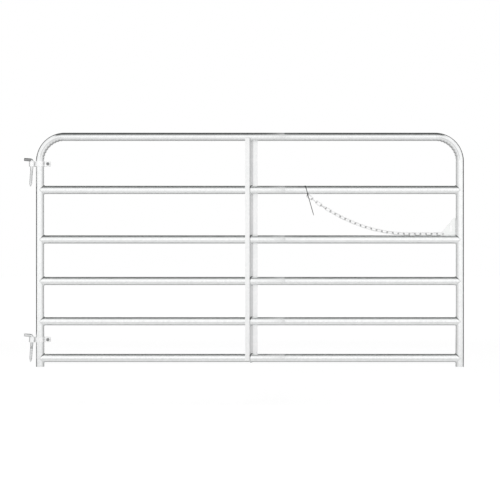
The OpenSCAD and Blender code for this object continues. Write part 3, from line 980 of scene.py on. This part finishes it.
def white_world():
    world = bpy.data.worlds.new("white_studio")
    bpy.context.scene.world = world
    world.use_nodes = True
    tree = world.node_tree
    strength = add(tree, "ShaderNodeMapRange", {"Value": seen_directly(tree)},
                   {"To Min": WORLD_LIGHT, "To Max": WORLD_SEEN})
    background = tree.nodes["Background"]
    background.inputs["Color"].default_value = colour("#FFFFFF")
    tree.links.new(strength.outputs["Result"], background.inputs["Strength"])


def pale_floor():
    made, tree, shader = new_material("pale_floor")
    shader.inputs["Base Color"].default_value = colour("#E8E8E8")
    shader.inputs["Roughness"].default_value = FLOOR_ROUGH
    shader.inputs["Emission Color"].default_value = colour("#FFFFFF")
    lift = add(tree, "ShaderNodeMath", {0: seen_directly(tree)}, {1: FLOOR_LIFT}, operation="MULTIPLY")
    tree.links.new(lift.outputs["Value"], shader.inputs["Emission Strength"])
    return made


white_world()
stage_plane("floor", (AIM_X - FLOOR_HALF, -FLOOR_HALF, foot_z - FLOOR_DROP), (2 * FLOOR_HALF, 0, 0),
            (0, 2 * FLOOR_HALF, 0), pale_floor())
print("white world, and a floor", FLOOR_DROP, "m under the legs")

# %% [markdown]
# Bright metal only shows its shape by what it mirrors, so a studio hangs cards round it. A dark
# ceiling draws the line along the top of every rail, a pale card under the gate draws the one
# along the bottom, dark cards behind both ends draw the outer edges of the legs, and cards that
# stand edge-on in the middle shade their inner edges and the web of the brace. The card in
# front gives the highlight along the middle of each tube. It is a little brighter than white,
# so that the zinc, which is darker than white, mirrors it as nearly white. The cards are seen in
# reflections only.

# %% Cards for the reflections
CARD_FOOT = foot_z - 0.2
CEILING_Z = 2.4
CEILING_LEFT = -0.5
CEILING_WIDE = 3.35
# Name, grey, nearest edge and depth of each strip, in metres.
CEILING_STRIPS = [("ceiling_back", "#545655", -0.55, 6), ("ceiling_middle", "#A4A6A5", -1.2, 0.65),
                  ("ceiling_front", "#E6E6E6", -2.3, 1.1)]
WING_WIDE = 5
WING_FROM_Y = 0.37
WINGS = [("ceiling_left", CEILING_LEFT - WING_WIDE), ("ceiling_right", CEILING_LEFT + CEILING_WIDE)]
BELOW_LEFT = -3
BELOW_WIDE = 8.4
BELOW_STRIPS = [("below_front", "#EEEEEE", -4.0, 2.8), ("below_middle", "#E2E2E2", -1.2, 1.2),
                ("below_back", "#AAAAAA", 0, 5)]
FRONT_CORNER = (-6, -5, 0.3)
FRONT_WIDE = 14
FRONT_TALL = 1.6
FRONT_STRENGTH = 1.08
PAST_TUBE = 0.03
END_OUT = 1.6
END_DEEP = 4
END_TALL = 1.8
END_CARDS = [("left_end", "#484848", hinge_leg_x - END_OUT),
             ("right_end", "#303030", latch_leg_x + END_OUT)]
INNER_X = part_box("z_brace")[1].x + 0.15
INNER_DEEP = 0.9
INNER_TALL = 4.5
FAR_DEEP = 2.4
# Name, grey, edge beside the tubes and depth to the back or the front.
INNER_CARDS = [("inner_back", "#BABABA", PAST_TUBE, INNER_DEEP),
               ("inner_front", "#DEDEDE", -PAST_TUBE, -INNER_DEEP),
               ("inner_far", "#FBFBFB", -PAST_TUBE - INNER_DEEP, -FAR_DEEP)]


def grey_card(name, level, corner, along, up, strength=1.0):
    finish = bpy.data.materials.new(name)
    finish.use_nodes = True
    tree = finish.node_tree
    tree.nodes.remove(tree.nodes["Principled BSDF"])
    glow = add(tree, "ShaderNodeEmission", values={"Color": colour(level), "Strength": strength})
    tree.links.new(glow.outputs["Emission"], tree.nodes["Material Output"].inputs["Surface"])
    made = stage_plane(name, corner, along, up, finish)
    made.visible_camera = False
    made.visible_diffuse = False
    made.visible_shadow = False
    print("card", name, level)


for name, level, y, deep in CEILING_STRIPS:
    grey_card(name, level, (CEILING_LEFT, y, CEILING_Z), (CEILING_WIDE, 0, 0), (0, deep, 0))
for name, x in WINGS:
    grey_card(name, "#545454", (x, WING_FROM_Y, CEILING_Z), (WING_WIDE, 0, 0), (0, WING_WIDE, 0))
for name, level, y, deep in BELOW_STRIPS:
    grey_card(name, level, (BELOW_LEFT, y, CARD_FOOT), (BELOW_WIDE, 0, 0), (0, deep, 0))
grey_card("front_glow", "#FFFFFF", FRONT_CORNER, (FRONT_WIDE, 0, 0), (0, 0, FRONT_TALL), FRONT_STRENGTH)
for name, level, x in END_CARDS:
    grey_card(name, level, (x, PAST_TUBE, CARD_FOOT), (0, END_DEEP, 0), (0, 0, END_TALL))
for name, level, y, deep in INNER_CARDS:
    grey_card(name, level, (INNER_X, y, CARD_FOOT), (0, deep, 0), (0, 0, INNER_TALL))

# %% [markdown]
# Two softboxes light the gate from the front, a large one high on the left and a weak one low on
# the right. They are hidden from reflections, because their mirror images would break the long
# lines that the cards draw along the rails. Colours are shown as they are written.

# %% Lamps
KEY_PLACE = (AIM_X - 1.5, -4.5, 3.4)
KEY_SIZE = (3.0, 1.6)
KEY_WATTS = 60
FILL_PLACE = (AIM_X + 3.0, -4.0, 1.2)
FILL_SIZE = (1.6, 2.4)
FILL_WATTS = 15


def softbox(name, place, size, watts):
    lamp = bpy.data.lights.new(name, "AREA")
    lamp.shape = "RECTANGLE"
    lamp.size, lamp.size_y = size
    lamp.energy = watts
    made = bpy.data.objects.new(name, lamp)
    made.location = place
    made.rotation_euler = (Vector((AIM_X, 0, AIM_Z)) - Vector(place)).to_track_quat("-Z", "Y").to_euler()
    made.visible_glossy = False
    bpy.context.scene.collection.objects.link(made)
    print("lamp", name, watts, "W")


softbox("key_softbox", KEY_PLACE, KEY_SIZE, KEY_WATTS)
softbox("fill_softbox", FILL_PLACE, FILL_SIZE, FILL_WATTS)
bpy.context.scene.view_settings.view_transform = "Standard"
